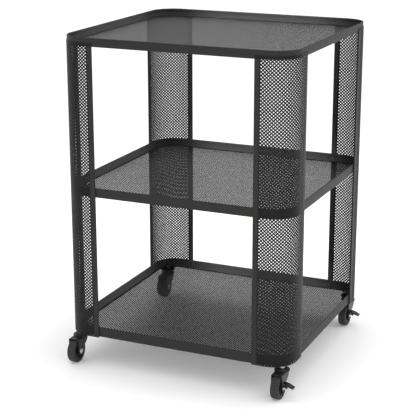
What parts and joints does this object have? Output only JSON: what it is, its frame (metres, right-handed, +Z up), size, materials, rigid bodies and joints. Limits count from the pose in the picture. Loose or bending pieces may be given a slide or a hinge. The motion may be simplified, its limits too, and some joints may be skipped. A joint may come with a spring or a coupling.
{
  "type": "rolling utility cart",
  "caption": "Open utility cart with shallow perforated metal trays between rounded perforated corner columns, on swivel casters with foot brakes on one side.",
  "frame": {"origin": "on the floor, under the middle of the box round the whole cart with its wheels trailing forward and its brake pedals up", "axes": "+Z up, +X towards the side with the brake pedals, -Y towards the front, where the wheels trail at rest"},
  "size_m": [0.4926, 0.4812, 0.666],
  "materials": {
    "painted_rim": "matte",
    "painted_mesh": "matte",
    "black_steel": "satin",
    "zinc": "bright",
    "black_plastic": "satin",
    "rubber": "matte"
  },
  "bodies": {
    "cart_frame": {"tray_rim_bottom": "painted_rim", "tray_panel_bottom": "painted_mesh", "tray_rim_middle": "painted_rim", "tray_panel_middle": "painted_mesh", "tray_rim_top": "painted_rim", "tray_panel_top": "painted_mesh", "column_front_left": "painted_mesh", "screw_bottom_front_left_x": "black_steel", "screw_bottom_front_left_y": "black_steel", "screw_middle_front_left_x": "black_steel", "screw_middle_front_left_y": "black_steel", "column_front_right": "painted_mesh", "screw_bottom_front_right_x": "black_steel", "screw_bottom_front_right_y": "black_steel", "screw_middle_front_right_x": "black_steel", "screw_middle_front_right_y": "black_steel", "column_back_right": "painted_mesh", "screw_bottom_back_right_x": "black_steel", "screw_bottom_back_right_y": "black_steel", "screw_middle_back_right_x": "black_steel", "screw_middle_back_right_y": "black_steel", "column_back_left": "painted_mesh", "screw_bottom_back_left_x": "black_steel", "screw_bottom_back_left_y": "black_steel", "screw_middle_back_left_x": "black_steel", "screw_middle_back_left_y": "black_steel", "caster_bracket_front_left": "painted_rim", "caster_bracket_front_right": "painted_rim", "caster_bracket_back_right": "painted_rim", "caster_bracket_back_left": "painted_rim", "stem_front_left": "zinc", "stem_front_right": "zinc", "stem_back_right": "zinc", "stem_back_left": "zinc"},
    "caster_front_left": {"swivel_cap_front_left": "black_steel", "fork_front_left": "black_steel", "axle_front_left": "zinc"},
    "wheel_front_left": {"wheel_hub_front_left": "black_plastic", "tyre_front_left": "rubber"},
    "caster_front_right": {"swivel_cap_front_right": "black_steel", "fork_front_right": "black_steel", "axle_front_right": "zinc", "brake_pin_front_right": "zinc"},
    "wheel_front_right": {"wheel_hub_front_right": "black_plastic", "tyre_front_right": "rubber"},
    "brake_front_right": {"brake_pedal_front_right": "black_plastic"},
    "caster_back_right": {"swivel_cap_back_right": "black_steel", "fork_back_right": "black_steel", "axle_back_right": "zinc", "brake_pin_back_right": "zinc"},
    "wheel_back_right": {"wheel_hub_back_right": "black_plastic", "tyre_back_right": "rubber"},
    "brake_back_right": {"brake_pedal_back_right": "black_plastic"},
    "caster_back_left": {"swivel_cap_back_left": "black_steel", "fork_back_left": "black_steel", "axle_back_left": "zinc"},
    "wheel_back_left": {"wheel_hub_back_left": "black_plastic", "tyre_back_left": "rubber"}
  },
  "joints": [
    {"name": "swivel_front_left", "type": "hinge", "parent": "cart_frame", "child": "caster_front_left", "pos_m": [-0.22622, -0.19633, 0.053], "axis": [0, 0, 1], "continuous": true},
    {"name": "spin_front_left", "type": "hinge", "parent": "caster_front_left", "child": "wheel_front_left", "pos_m": [-0.22622, -0.21613, 0.0245], "axis": [1, 0, 0], "continuous": true},
    {"name": "swivel_front_right", "type": "hinge", "parent": "cart_frame", "child": "caster_front_right", "pos_m": [0.21367, -0.19633, 0.053], "axis": [0, 0, 1], "continuous": true},
    {"name": "spin_front_right", "type": "hinge", "parent": "caster_front_right", "child": "wheel_front_right", "pos_m": [0.21367, -0.21613, 0.0245], "axis": [1, 0, 0], "continuous": true},
    {"name": "brake_press_front_right", "type": "hinge", "parent": "caster_front_right", "child": "brake_front_right", "pos_m": [0.22927, -0.21613, 0.0299], "axis": [0, 1, 0], "range_deg": [0, 18]},
    {"name": "swivel_back_right", "type": "hinge", "parent": "cart_frame", "child": "caster_back_right", "pos_m": [0.21367, 0.2176, 0.053], "axis": [0, 0, 1], "continuous": true},
    {"name": "spin_back_right", "type": "hinge", "parent": "caster_back_right", "child": "wheel_back_right", "pos_m": [0.21367, 0.1978, 0.0245], "axis": [1, 0, 0], "continuous": true},
    {"name": "brake_press_back_right", "type": "hinge", "parent": "caster_back_right", "child": "brake_back_right", "pos_m": [0.22927, 0.1978, 0.0299], "axis": [0, 1, 0], "range_deg": [0, 18]},
    {"name": "swivel_back_left", "type": "hinge", "parent": "cart_frame", "child": "caster_back_left", "pos_m": [-0.22622, 0.2176, 0.053], "axis": [0, 0, 1], "continuous": true},
    {"name": "spin_back_left", "type": "hinge", "parent": "caster_back_left", "child": "wheel_back_left", "pos_m": [-0.22622, 0.1978, 0.0245], "axis": [1, 0, 0], "continuous": true}
  ]
}
